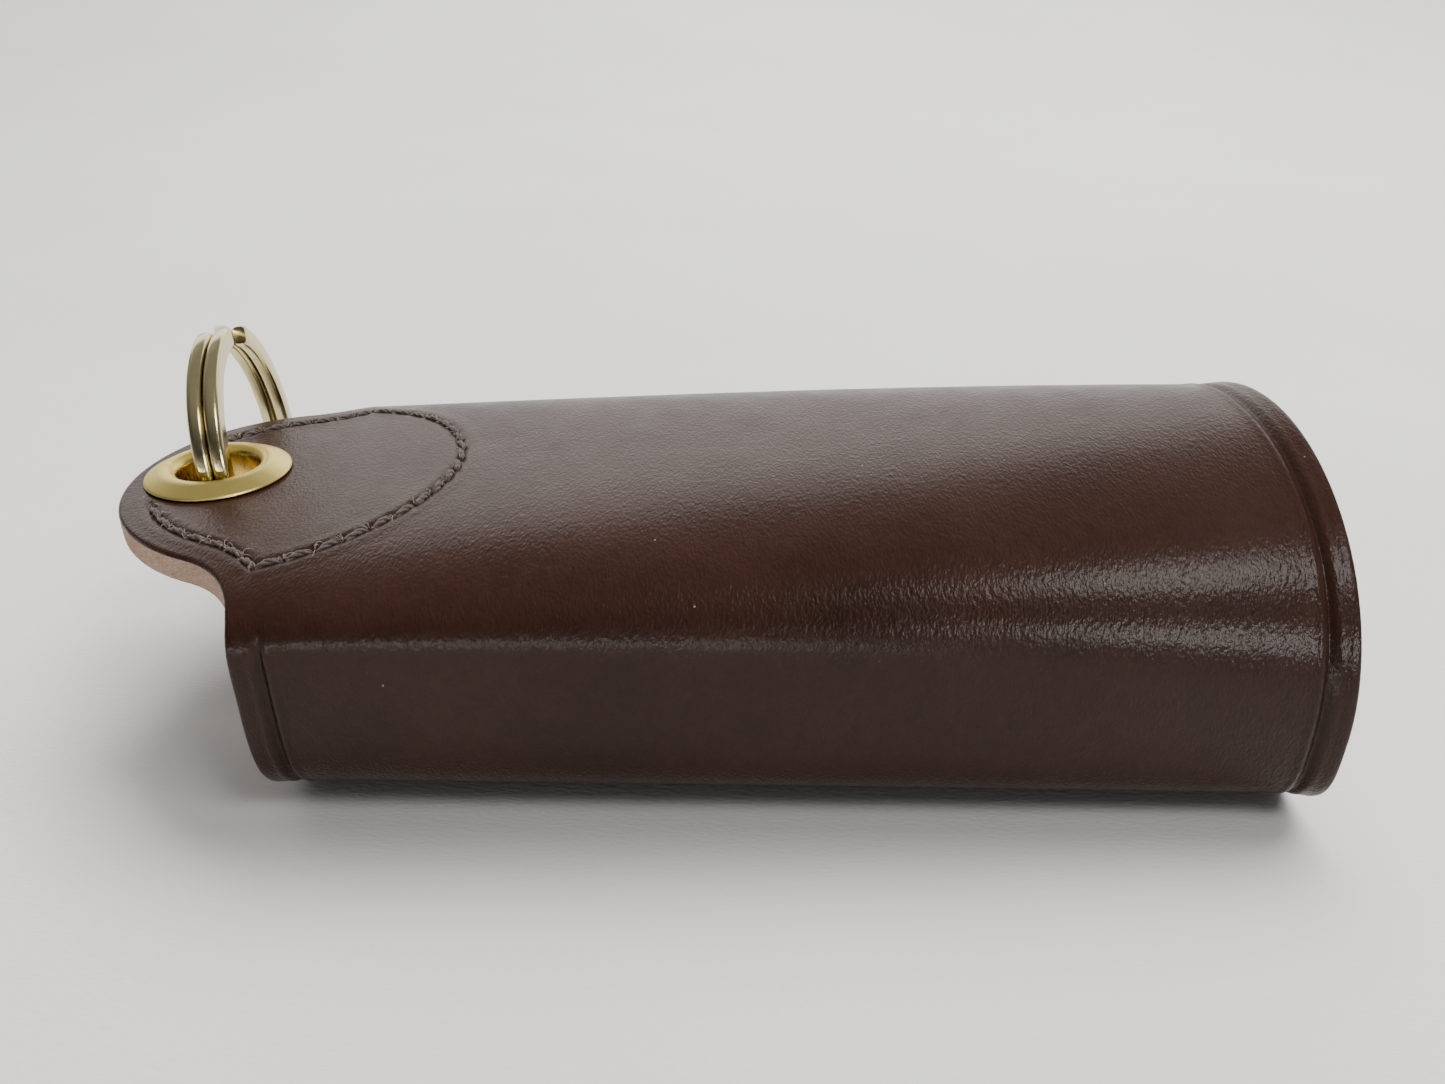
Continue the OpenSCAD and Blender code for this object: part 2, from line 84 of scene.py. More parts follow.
STITCH_INSET, STITCH_PITCH, LOBE_STITCH_R = 3.0, 2.7, LOBE_R - 2
RING_R, RING_WIRE, RING_TURN, RING_GAP = 14.0, 2.2, 1.55, 0.05
RING_X, RING_Y, RING_Z = EYELET_X - 1.65, RING_R - RING_WIRE / 2 - 1.4, LEFT_H + 11.65 - RING_R
RING_YAW, RING_TILT = math.radians(9.0), math.radians(-5.1)
CROSS_AT, CROSS_HALF = 167.5, 12.5
SEAM_Z = 20.0                             # where the two leather pieces meet, far side
CAP_R, SOCKET_R, STUD_R, BALL_R, POST_R = 6.2, 5.0, 4.5, 1.85, 4.8
STUD_PLATE, POST_RIM = 0.7, 0.8           # thickness of the stud's plate, height of the post's rim


# ---- Section of the wrap, the same as the CAD's --------------------------------------
def mix(a, b, t):
    return a + (b - a) * t


def smooth(t):
    t = np.clip(t, 0, 1)
    return t * t * (3 - 2 * t)


def along(x):
    return np.clip((x - X_LEFT) / BODY_LEN, 0, 1)


def top_h(x):
    return mix(LEFT_H, RIGHT_H, along(x))


def waist(x):
    return mix(LEFT_WAIST, RIGHT_WAIST, along(x))


def square_up(x):
    return mix(LEFT_SQUARE, RIGHT_SQUARE, along(x))


def top_z(x, y):
    flat = np.clip(np.abs(y) / HALF_W, 0, 1)
    power = square_up(x)
    return waist(x) + (top_h(x) - waist(x)) * (1 - flat**power) ** (1 / power)


def lift(y):
    return SNAP_LIFT * smooth((y + 8) / 11)


# ---- Section polylines at one place along the case, each from its start to its end ---
FINE = 1500


def top_angle(x, z):
    """Angle of the upper half of the section at a height, 0 at the widest line."""
    return math.asin(np.clip((z - waist(x)) / (top_h(x) - waist(x)), 0, 1) ** (square_up(x) / 2))


def top_curve(x, a):
    y = HALF_W * np.cos(a).clip(0) ** (2 / square_up(x))
    z = waist(x) + (top_h(x) - waist(x)) * np.sin(a).clip(0) ** (2 / square_up(x))
    return y, z


def arc_top(x, z_end):
    """From the middle of the top down one side to the height z_end: |y| and z."""
    end = top_angle(x, z_end)
    # Angles crowd towards the top, where a square section runs fast
    t = np.linspace(0, 1, FINE)
    return top_curve(x, math.pi / 2 - (math.pi / 2 - end) * t**2.6)


def arc_low(x, floor, z_start, y_end):
    """From the widest line, or z_start below it, down under the case to |y| = y_end."""
    start = math.asin(np.clip((waist(x) - z_start) / (waist(x) - floor), 0, 1) ** (LOW_SQUARE / 2))
    stop = math.acos((y_end / HALF_W) ** (LOW_SQUARE / 2))
    t = np.linspace(0, 1, FINE)
    a = mix(start, stop, 1 - (1 - t) ** 2.2)
    y = HALF_W * np.cos(a).clip(0) ** (2 / LOW_SQUARE)
    z = waist(x) - (waist(x) - floor) * np.sin(a).clip(0) ** (2 / LOW_SQUARE)
    return y, z


def resample(y, z, fractions):
    length = np.concatenate([[0], np.cumsum(np.hypot(np.diff(y), np.diff(z)))])
    at = fractions * length[-1]
    return np.interp(at, length, y), np.interp(at, length, z)


def spaced(fine_share, fine_rows, rows):
    """Fractions from 0 to 1 with fine_rows even steps over the first share."""
    return np.concatenate([np.linspace(0, fine_share, fine_rows + 1),
                           np.linspace(fine_share, 1, rows + 1)[1:]])


TOP_ROWS = spaced(0.72, 62, 18)       # middle of the top to the seam or the near fold
EDGE_ROUND = 0.38                     # rounding of the leather's cut edges


def near_rows(x):
    """Whole section of the first leather piece: far seam, top, near fold, outer flap."""
    y1, z1 = resample(*arc_top(x, SEAM_Z), far_fractions)
    y2, z2 = resample(*arc_top(x, waist(x)), TOP_ROWS)
    y3, z3 = resample(*arc_low(x, 0.0, waist(x), 0.0), low_fractions)
    y4 = NEAR_REACH * flat_fractions
    ys = np.concatenate([y1[::-1], -y2[1:], -y3[1:], y4[1:]])
    zs = np.concatenate([z1[::-1], z2[1:], z3[1:], y4[1:] * 0])
    bottom = np.concatenate([np.zeros(len(y1) + len(y2) - 1), np.ones(len(y3) + len(y4) - 2)])
    return ys, zs + lift(ys) * bottom


def far_rows(x):
    """Section of the second piece, from its free edge round the far fold to the seam."""
    y0, z0 = top_curve(x, np.linspace(0, top_angle(x, SEAM_Z), 400))
    y1, z1 = arc_low(x, FAR_LEVEL, waist(x), FAR_REACH)
    y, z = resample(np.concatenate([y0[::-1], y1[1:]]), np.concatenate([z0[::-1], z1[1:]]),
                    far_flap_fractions)
    return y[::-1], z[::-1]


def edge_fractions(length, steps=5):
    """Fractions that crowd together next to a rounded cut edge at the end."""
    return 1 - EDGE_ROUND * (1 - np.cos(np.linspace(math.pi / 2, 0, steps))) / length


far_fractions = np.concatenate([spaced(0.72, 62, 12)[:-1], [0.996, 1.0]])
low_fractions = np.linspace(0, 1, 46)
flat_fractions = np.concatenate([np.linspace(0, 0.97, 12), edge_fractions(NEAR_REACH)])
far_flap_fractions = np.concatenate([[0, 0.0012], np.linspace(0.01, 0.985, 56), edge_fractions(44)])


# ---- Plan outline --------------------------------------------------------------------
def outline(y):
    """X of the tab end's edge and the size of its normal along X, for |y|."""
    y = np.abs(y)
    tip = TIP_CX - np.sqrt(np.clip(TIP_R**2 - y**2, 0, None))
    hollow = SHOULDER_CX + np.sqrt(np.clip(SHOULDER_R**2 - (y - SHOULDER_CY) ** 2, 0, None))
    x = np.where(y <= JOIN_Y, tip, hollow)
    nx = np.where(y <= JOIN_Y, (TIP_CX - x) / TIP_R, (x - SHOULDER_CX) / SHOULDER_R)
    return x, np.clip(nx, 0.3, 1)


# ---- Stitch path ---------------------------------------------------------------------
def arc_len_points(cx, cy, r, a0, a1):
    n = max(1, round(abs(a1 - a0) * r / STITCH_PITCH))
    a = np.linspace(a0, a1, n + 1)
    return np.stack([cx + r * np.cos(a), cy + r * np.sin(a)], 1)


TIP_STITCH_R, SHOULDER_STITCH_R = TIP_R - STITCH_INSET, SHOULDER_R + STITCH_INSET
# The lobe's and the shoulder's stitch circles cross on a chord CHORD_AT from the lobe's centre
CENTRES = math.hypot(SHOULDER_CX - LOBE_X, SHOULDER_CY)
CHORD_AT = (CENTRES**2 + LOBE_STITCH_R**2 - SHOULDER_STITCH_R**2) / (2 * CENTRES)
LOBE_TURN = math.atan2(SHOULDER_CY, SHOULDER_CX - LOBE_X) - math.acos(CHORD_AT / LOBE_STITCH_R)
CORNER = (LOBE_X + LOBE_STITCH_R * math.cos(LOBE_TURN), LOBE_STITCH_R * math.sin(LOBE_TURN))
SHOULDER_TURN = math.atan2(CORNER[1] - SHOULDER_CY, CORNER[0] - SHOULDER_CX)

shoulder_holes = arc_len_points(SHOULDER_CX, SHOULDER_CY, SHOULDER_STITCH_R,
                                JOIN_A - math.pi, SHOULDER_TURN)
stitch_rows = [
    arc_len_points(TIP_CX, 0, TIP_STITCH_R, JOIN_A, 2 * math.pi - JOIN_A),
    shoulder_holes,
    shoulder_holes * [1, -1],
    arc_len_points(LOBE_X, 0, LOBE_STITCH_R, -LOBE_TURN, LOBE_TURN),
]
STITCH_CLEAR = EYELET_D / 2 + STITCH_PITCH / 2      # no stitch under the eyelet's flange


def stitch_ends():
    pairs = []
    for row in stitch_rows:
        for p, q in zip(row[:-1], row[1:]):
            if math.hypot(*((p + q) / 2 - [EYELET_X, 0])) > STITCH_CLEAR:
                pairs.append((p, q))
    return pairs


stitches = stitch_ends()
holes = np.unique(np.round(np.array([e for pair in stitches for e in pair]), 3), axis=0)


def row_distance(x, y):
    """Distance in plan to the stitch row, and to its nearest hole."""
    y_abs = np.abs(y)
    best = np.full(x.shape, 99.0)
    ang = np.arctan2(y_abs, x - TIP_CX)
    d = np.abs(np.hypot(x - TIP_CX, y) - TIP_STITCH_R)
    best = np.where(ang >= JOIN_A, np.minimum(best, d), best)
    ang = np.arctan2(y_abs - SHOULDER_CY, x - SHOULDER_CX)
    d = np.abs(np.hypot(x - SHOULDER_CX, y_abs - SHOULDER_CY) - SHOULDER_STITCH_R)
    inside = (ang >= JOIN_A - math.pi) & (ang <= SHOULDER_TURN)
    best = np.where(inside, np.minimum(best, d), best)
    ang = np.arctan2(y_abs, x - LOBE_X)
    d = np.abs(np.hypot(x - LOBE_X, y) - LOBE_STITCH_R)
    best = np.where(ang <= LOBE_TURN, np.minimum(best, d), best)
    hole = np.full(x.shape, 99.0)
    for h in holes:
        hole = np.minimum(hole, np.hypot(x - h[0], y - h[1]))
    return best, hole


def clear_of_eyelet(x, y):
    """0 under the eyelet's flange, rising to 1 just outside it."""
    return smooth((np.hypot(x - EYELET_X, y) - EYELET_D / 2 - 0.3) / 0.8)


# ---- Mesh helpers --------------------------------------------------------------------
def add_mesh(name, verts, faces, slots, kinds=None, sharp=38):
    mesh = bpy.data.meshes.new(name)
    mesh.from_pydata((np.asarray(verts, float) * MM).tolist(), [], faces)
    for material in slots:
        mesh.materials.append(material)
    if kinds is not None:
        mesh.polygons.foreach_set("material_index", np.asarray(kinds, np.int32))
    mesh.polygons.foreach_set("use_smooth", np.ones(len(mesh.polygons), bool))
    mesh.set_sharp_from_angle(angle=math.radians(sharp))
    mesh.update()
    obj = bpy.data.objects.new(name, mesh)
    bpy.context.scene.collection.objects.link(obj)
    return obj


def grid_normals(points):
    d_row = np.gradient(points, axis=0)
    d_col = np.gradient(points, axis=1)
    n = np.cross(d_row, d_col)
    return n / np.linalg.norm(n, axis=2, keepdims=True).clip(1e-9)


WALL_STEPS = 4                        # faces across a cut edge


def thick_sheet(outer, inner, fuzz, hole=None):
    """Closed skin round two matching grids. Kinds: 0 outer, 1 cut edge, 2 inner."""
    nr, nc = outer.shape[:2]
    index = np.arange(nr * nc).reshape(nr, nc)
    a, b, c, d = index[:-1, :-1], index[1:, :-1], index[1:, 1:], index[:-1, 1:]
    quads = np.stack([a, b, c, d], -1)
    keep = np.ones(quads.shape[:2], bool) if hole is None else ~hole
    top = quads[keep]
    verts = [outer.reshape(-1, 3), inner.reshape(-1, 3)]
    faces = [top, top[:, ::-1] + nr * nc]
    kinds = [np.zeros(len(top)), np.full(len(top), 2)]
    loop = np.concatenate([index[:, 0], index[-1, 1:], index[-2::-1, -1], index[0, -2:0:-1]])
    o, i = outer.reshape(-1, 3)[loop], inner.reshape(-1, 3)[loop]
    out_dir = np.cross(np.roll(o, -1, 0) - np.roll(o, 1, 0), o - i)
    out_dir /= np.linalg.norm(out_dir, axis=1, keepdims=True).clip(1e-9)
    rings = [loop]
    count = 2 * nr * nc
    for k in range(1, WALL_STEPS):
        wobble = fuzz * (rng.random(len(loop)) - 0.6)[:, None]
        verts.append(mix(o, i, k / WALL_STEPS) - out_dir * wobble)
        rings.append(np.arange(count, count + len(loop)))
        count += len(loop)
    rings.append(loop + nr * nc)
    for u, v in zip(rings[:-1], rings[1:]):
        wall = np.stack([np.roll(u, -1), u, v, np.roll(v, -1)], -1)
        faces.append(wall)
        kinds.append(np.ones(len(wall)))
    if hole is not None:
        cut = []
        for r, q in np.argwhere(hole):
            ring = [(index[r, q], index[r + 1, q], (r, q - 1)),
                    (index[r + 1, q], index[r + 1, q + 1], (r + 1, q)),
                    (index[r + 1, q + 1], index[r, q + 1], (r, q + 1)),
                    (index[r, q + 1], index[r, q], (r - 1, q))]
            cut += [(u, v, v + nr * nc, u + nr * nc) for u, v, n in ring if not hole[n]]
        faces.append(np.array(cut))
        kinds.append(np.ones(len(cut)))
    verts = np.concatenate(verts)
    faces = np.concatenate(faces)
    kinds = np.concatenate(kinds)
    used = np.zeros(len(verts), bool)
    used[faces.ravel()] = True
    renumber = np.cumsum(used) - 1
    return verts[used], renumber[faces].tolist(), kinds, used


def fillet(points, radii, steps=4):
    """Closed outline whose corners are rounded by the given reach."""
    out, n = [], len(points)
    for k, (p, r) in enumerate(zip(points, radii)):
        p, a, c = np.array(p, float), np.array(points[k - 1]), np.array(points[(k + 1) % n])
        if r <= 0:
            out.append(p)
            continue
        u, v = a - p, c - p
        lu, lv = np.linalg.norm(u), np.linalg.norm(v)
        reach = min(r, 0.48 * lu, 0.48 * lv)
        s, e = p + u / lu * reach, p + v / lv * reach
        for t in np.linspace(0, 1, steps + 1):
            out.append((1 - t) ** 2 * s + 2 * t * (1 - t) * p + t * t * e)
    return np.array(out)


def lathe(profile, centre, segments=96):
    """Closed solid of a closed outline of (radius, z) turned about Z."""
    profile = np.asarray(profile, float)
    n = len(profile)
    a = np.linspace(0, 2 * math.pi, segments, endpoint=False)
    verts = np.stack([
        centre[0] + profile[None, :, 0] * np.cos(a)[:, None],
        centre[1] + profile[None, :, 0] * np.sin(a)[:, None],
        centre[2] + profile[None, :, 1] + 0 * a[:, None]], -1).reshape(-1, 3)
    area = 0.5 * np.sum(profile[:, 0] * np.roll(profile[:, 1], -1)
                        - np.roll(profile[:, 0], -1) * profile[:, 1])
    faces = []
    for s in range(segments):
        t = (s + 1) % segments
        for k in range(n):
            m = (k + 1) % n
            quad = [s * n + k, t * n + k, t * n + m, s * n + m]
            faces.append(quad if area > 0 else quad[::-1])
    return verts, faces


def spun(profile, centre, segments=96):
    """Closed solid of an open outline of (radius, z) whose two ends lie on the axis."""
    profile = np.asarray(profile, float)
    inner = profile[1:-1]
    n = len(inner)
    a = np.linspace(0, 2 * math.pi, segments, endpoint=False)
    verts = np.stack([
        inner[None, :, 0] * np.cos(a)[:, None],
        inner[None, :, 0] * np.sin(a)[:, None],
        inner[None, :, 1] + 0 * a[:, None]], -1).reshape(-1, 3)
    first, last = len(verts), len(verts) + 1
    verts = np.concatenate([verts, [[0, 0, profile[0, 1]], [0, 0, profile[-1, 1]]]]) + centre
    up = profile[-1, 1] > profile[0, 1]
    faces = []
    for s in range(segments):
        t = (s + 1) % segments
        strip = [[s * n + k, t * n + k, t * n + k + 1, s * n + k + 1] for k in range(n - 1)]
        strip += [[first, t * n, s * n], [s * n + n - 1, t * n + n - 1, last]]
        faces += strip if up else [q[::-1] for q in strip]
    return verts, faces


def tube(path, radius, sides=12, round_ends=True):
    """Closed round wire along a path; radius may vary from point to point."""
    path = np.asarray(path, float)
    radius = np.broadcast_to(radius, (len(path),)).astype(float)
    run = np.gradient(path, axis=0)
    run /= np.linalg.norm(run, axis=1, keepdims=True)
    ref = np.array([0, 0, 1.0]) if abs(run[0][2]) < 0.9 else np.array([0, 1.0, 0])
    u = np.cross(ref, run[0])
    u /= np.linalg.norm(u)
    a = np.linspace(0, 2 * math.pi, sides, endpoint=False)
    rings = []

    def ring(p, direction, u, r):
        v = np.cross(direction, u)
        return p + r * (np.cos(a)[:, None] * u + np.sin(a)[:, None] * v)

    for k, (p, t, r) in enumerate(zip(path, run, radius)):
        u = u - t * np.dot(u, t)
        u /= np.linalg.norm(u)
        if k == 0 and round_ends:
            rings += [ring(p - t * r * 0.94, t, u, r * 0.34), ring(p - t * r * 0.6, t, u, r * 0.8)]
        rings.append(ring(p, t, u, r))
        if k == len(path) - 1 and round_ends:
            rings += [ring(p + t * r * 0.6, t, u, r * 0.8), ring(p + t * r * 0.94, t, u, r * 0.34)]
    return skin(rings)


def skin(rings):
    """Closed solid through equal rings of points, with its two ends capped."""
    n, last = len(rings[0]), len(rings) - 1
    faces = []
    for k in range(last):
        for s in range(n):
            t = (s + 1) % n
            faces.append([k * n + s, k * n + t, (k + 1) * n + t, (k + 1) * n + s])
    faces.append(list(range(n))[::-1])
    faces.append([last * n + s for s in range(n)])
    return np.concatenate(rings), faces


def join(parts):
    verts, faces, start = [], [], 0
    for v, f in parts:
        verts.append(v)
        faces += [[k + start for k in face] for face in f]
        start += len(v)
    return np.concatenate(verts), faces


# ---- Materials -----------------------------------------------------------------------
def new_material(name):
    material = bpy.data.materials.new(name)
    material.use_nodes = True
    nodes = material.node_tree.nodes
    shader = nodes["Principled BSDF"]
    place = nodes.new("ShaderNodeTexCoord")
    return material, nodes, material.node_tree.links, shader, place.outputs["Object"]


def noise(nodes, links, place, scale, detail=2.0, rough=0.5, distortion=0.0):
    n = nodes.new("ShaderNodeTexNoise")
    n.inputs["Scale"].default_value = scale
    n.inputs["Detail"].default_value = detail
    n.inputs["Roughness"].default_value = rough
    n.inputs["Distortion"].default_value = distortion
    links.new(place, n.inputs["Vector"])
    return n.outputs["Fac"]


def voronoi(nodes, links, place, scale, feature="F1"):
    n = nodes.new("ShaderNodeTexVoronoi")
    n.feature = feature
    n.inputs["Scale"].default_value = scale
    links.new(place, n.inputs["Vector"])
    return n.outputs["Distance"]


def ramp(nodes, links, fac, stops):
    n = nodes.new("ShaderNodeValToRGB")
    n.color_ramp.elements[0].position, n.color_ramp.elements[0].color = stops[0][0], stops[0][1]
    n.color_ramp.elements[1].position, n.color_ramp.elements[1].color = stops[-1][0], stops[-1][1]
    for at, colour in stops[1:-1]:
        n.color_ramp.elements.new(at).color = colour
    links.new(fac, n.inputs["Fac"])
    return n.outputs["Color"]


def to_range(nodes, links, fac, low, high, out_low, out_high):
    n = nodes.new("ShaderNodeMapRange")
    limits = {"From Min": low, "From Max": high, "To Min": out_low, "To Max": out_high}
    for key, value in limits.items():
        n.inputs[key].default_value = value
    links.new(fac, n.inputs["Value"])
    return n.outputs["Result"]


def math_node(nodes, links, operation, a, b):
    n = nodes.new("ShaderNodeMath")
    n.operation = operation
    for socket, value in zip(n.inputs, (a, b)):
        if isinstance(value, (int, float)):
            socket.default_value = value
        else:
            links.new(value, socket)
    return n.outputs["Value"]


def mix_colour(nodes, links, fac, a, b):
    n = nodes.new("ShaderNodeMix")
    n.data_type = "RGBA"
    links.new(fac, n.inputs["Factor"])
    for socket, value in ((n.inputs["A"], a), (n.inputs["B"], b)):
        if isinstance(value, tuple):
            socket.default_value = value
        else:
            links.new(value, socket)
    return n.outputs["Result"]


def bump(nodes, links, height, distance, below=None):
    n = nodes.new("ShaderNodeBump")
    n.inputs["Strength"].default_value = 1.0
    n.inputs["Distance"].default_value = distance
    links.new(height, n.inputs["Height"])
    if below is not None:
        links.new(below, n.inputs["Normal"])
    return n.outputs["Normal"]


def stretched(nodes, links, place, scale):
    n = nodes.new("ShaderNodeMapping")
    n.inputs["Scale"].default_value = scale
    links.new(place, n.inputs["Vector"])
    return n.outputs["Vector"]


def leather_material():
    material, nodes, links, shader, place = new_material("bridle_leather_dark_brown")
    cloud = noise(nodes, links, place, 70, 4, 0.6)
    fine = noise(nodes, links, place, 900, 3, 0.6)
    tint = ramp(nodes, links, cloud, [(0.3, (0.0205, 0.0081, 0.0050, 1)),
                                      (0.7, (0.0290, 0.0119, 0.0076, 1))])
    pores = to_range(nodes, links, fine, 0.35, 0.7, 0.0, 0.2)
    tint = mix_colour(nodes, links, pores, tint, (0.046, 0.022, 0.015, 1))
    # Painted shade: the dent attribute darkens the leather in its stitch channel, stitch holes and
    # creases
    dent = nodes.new("ShaderNodeAttribute")
    dent.attribute_name = "dent"
    tint = mix_colour(nodes, links, dent.outputs["Fac"], tint, (0.0095, 0.0048, 0.0034, 1))
    # Painted glints: light specks, one in a few cells of a coarse cell pattern
    painted_glints = to_range(nodes, links, voronoi(nodes, links, place, 330), 0.022, 0.034, 1.0, 0.0)
    rare = to_range(nodes, links, noise(nodes, links, place, 150, 1, 0.5), 0.52, 0.56, 0.0, 0.8)
    painted_glints = math_node(nodes, links, "MULTIPLY", painted_glints, rare)
    tint = mix_colour(nodes, links, painted_glints, tint, (0.30, 0.27, 0.25, 1))
    links.new(tint, shader.inputs["Base Color"])
    patches = noise(nodes, links, place, 260, 3, 0.6)
    links.new(to_range(nodes, links, patches, 0.3, 0.7, 0.28, 0.37), shader.inputs["Roughness"])
    shader.inputs["Specular IOR Level"].default_value = 0.09
    shader.inputs["Coat Weight"].default_value = 0.14
    shader.inputs["Coat Roughness"].default_value = 0.12
    grown = stretched(nodes, links, place, (1, 0.55, 0.55))
    low = bump(nodes, links, noise(nodes, links, place, 110, 2, 0.5), 0.00005)
    mid = bump(nodes, links, noise(nodes, links, grown, 2700, 2, 0.6), 0.000058, below=low)
    grain = voronoi(nodes, links, grown, 4600, "SMOOTH_F1")
    normal = bump(nodes, links, grain, 0.000055, below=mid)
    links.new(normal, shader.inputs["Normal"])
    pimples = noise(nodes, links, place, 3000, 1, 0.5)
    links.new(bump(nodes, links, pimples, 0.00002, below=mid), shader.inputs["Coat Normal"])
    return material


def raw_edge_material():
    material, nodes, links, shader, place = new_material("cut_edge_tan")
    fibre = noise(nodes, links, stretched(nodes, links, place, (1, 1, 2.4)), 2600, 5, 0.65, 0.6)
    patch = noise(nodes, links, place, 350, 3, 0.6)
    tint = ramp(nodes, links, fibre, [(0.3, (0.27, 0.165, 0.115, 1)), (0.52, (0.47, 0.32, 0.235, 1)),
                                      (0.75, (0.66, 0.50, 0.39, 1))])
    tint = mix_colour(nodes, links, to_range(nodes, links, patch, 0.4, 0.7, 0.0, 0.45),
                      tint, (0.30, 0.185, 0.13, 1))
    links.new(tint, shader.inputs["Base Color"])
    shader.inputs["Roughness"].default_value = 0.9
    shader.inputs["Specular IOR Level"].default_value = 0.25
    links.new(bump(nodes, links, fibre, 0.00018), shader.inputs["Normal"])
    return material


def lining_material():
    material, nodes, links, shader, place = new_material("lining_flesh_side")
    nap = noise(nodes, links, place, 2200, 5, 0.7, 0.3)
    cloud = noise(nodes, links, place, 120, 3, 0.6)
    tint = ramp(nodes, links, nap, [(0.3, (0.085, 0.042, 0.027, 1)), (0.7, (0.17, 0.092, 0.06, 1))])
    tint = mix_colour(nodes, links, to_range(nodes, links, cloud, 0.35, 0.7, 0.0, 0.5),
                      tint, (0.10, 0.052, 0.034, 1))
    links.new(tint, shader.inputs["Base Color"])
    shader.inputs["Roughness"].default_value = 0.88
    shader.inputs["Specular IOR Level"].default_value = 0.25
    shader.inputs["Sheen Weight"].default_value = 0.15
    links.new(bump(nodes, links, nap, 0.00009), shader.inputs["Normal"])
    return material


def thread_material(name, dark, light):
    material, nodes, links, shader, place = new_material(name)
    strand = noise(nodes, links, place, 5200, 4, 0.7, 0.8)
    links.new(ramp(nodes, links, strand, [(0.35, dark), (0.7, light)]), shader.inputs["Base Color"])
    shader.inputs["Roughness"].default_value = 0.75
    shader.inputs["Sheen Weight"].default_value = 0.25
    links.new(bump(nodes, links, strand, 0.00006), shader.inputs["Normal"])
    return material


def metal_material(name, colour, dull, rough, scratch=0.000004):
    material, nodes, links, shader, place = new_material(name)
    cloud = noise(nodes, links, place, 420, 4, 0.6)
    dulled = to_range(nodes, links, cloud, 0.35, 0.75, 0.0, 0.35)
    tint = mix_colour(nodes, links, dulled, colour, dull)
    links.new(tint, shader.inputs["Base Color"])
    shader.inputs["Metallic"].default_value = 1.0
    spots = noise(nodes, links, place, 1500, 4, 0.65)
    polish = to_range(nodes, links, spots, 0.3, 0.75, rough, rough + 0.12)
    links.new(polish, shader.inputs["Roughness"])
    marks = noise(nodes, links, place, 3800, 3, 0.6)
    links.new(bump(nodes, links, marks, scratch), shader.inputs["Normal"])
    return material


leather = leather_material()
raw_edge = raw_edge_material()
lining = lining_material()
thread = thread_material("thread_dark_brown", (0.032, 0.021, 0.0165, 1), (0.125, 0.092, 0.077, 1))
frayed = thread_material("thread_frayed_ends", (0.15, 0.11, 0.09, 1), (0.36, 0.29, 0.25, 1))
satin_brass = metal_material("brass_satin", (0.84, 0.66, 0.20, 1), (0.68, 0.53, 0.16, 1), 0.34, 0.000012)
# Painted shade: the eyelet's bore gets a darker, deeper gold copy of its brass
bore_brass_painted_shade = metal_material("brass_bore_painted_shade", (0.64, 0.46, 0.12, 1), (0.50, 0.34, 0.08, 1), 0.2)
polished_brass = metal_material("brass_pale_polished", (0.60, 0.52, 0.29, 1), (0.47, 0.39, 0.20, 1), 0.12)
nickel = metal_material("nickel_plate", (0.66, 0.64, 0.60, 1), (0.50, 0.48, 0.45, 1), 0.18)
spring_steel = metal_material("spring_steel", (0.50, 0.50, 0.51, 1), (0.38, 0.38, 0.39, 1), 0.25)

# ---- The leather wrap: outer grids ---------------------------------------------------
CREASE_IN = 2.7          # crease line from the body's ends
LOBE_END = -34.0         # the tab's own columns run to here
FINE_TO, CLOSE_FROM = -20.5, X_RIGHT - 5      # columns lie closer outside these two
edge_in = EDGE_ROUND * (1 - np.cos(np.linspace(0, math.pi / 2, 5)))
tab_share = np.linspace(0, 1, 62)[1:]
plain_x = np.concatenate([
    np.linspace(LOBE_END, FINE_TO, 40)[1:],
    np.linspace(FINE_TO, CLOSE_FROM, 44)[1:],
    np.linspace(CLOSE_FROM, X_RIGHT - EDGE_ROUND, 36)[1:]])


def grid_of(section, with_tab):
    """Outer skin of one leather piece, row by row round the section, column by column in X."""
    right_x = X_RIGHT - edge_in[-2::-1]
    y_left, z_left = section(X_LEFT)
    on_tab = (z_left > LEFT_WAIST) & with_tab
    start, nx = outline(y_left)
    start = np.where(on_tab, start, X_LEFT)
    nx = np.where(on_tab, nx, 1.0)
    near_x = start[:, None] + edge_in[None, :] / nx[:, None]
    tab_x = near_x[:, -1:] + (LOBE_END - near_x[:, -1:]) * tab_share[None, :]
    rest_x = np.tile(np.concatenate([plain_x, right_x]), (len(y_left), 1))
    x = np.concatenate([near_x, tab_x, rest_x], 1)
    stations = np.linspace(X_LEFT, X_RIGHT, 49)
    table = np.array([section(s) for s in stations])          # station, (y, z), row
    at = np.clip((x - X_LEFT) / BODY_LEN, 0, 1) * (len(stations) - 1)
    k = np.clip(at.astype(int), 0, len(stations) - 2)
    part = at - k
    rows = np.arange(len(y_left))[:, None]
    y = mix(table[k, 0, rows], table[k + 1, 0, rows], part)
    z = mix(table[k, 1, rows], table[k + 1, 1, rows], part)
    edge = np.minimum(np.abs(x - start[:, None]) * nx[:, None], np.abs(X_RIGHT - x))
    return np.stack([x, y, z], -1), edge, start


def rounding(edge):
    e = np.clip(edge, 0, EDGE_ROUND)
    return EDGE_ROUND - np.sqrt(np.clip(EDGE_ROUND**2 - (EDGE_ROUND - e) ** 2, 0, None))


def groove(d, width, depth):
    return depth * np.exp(-((d / width) ** 2))


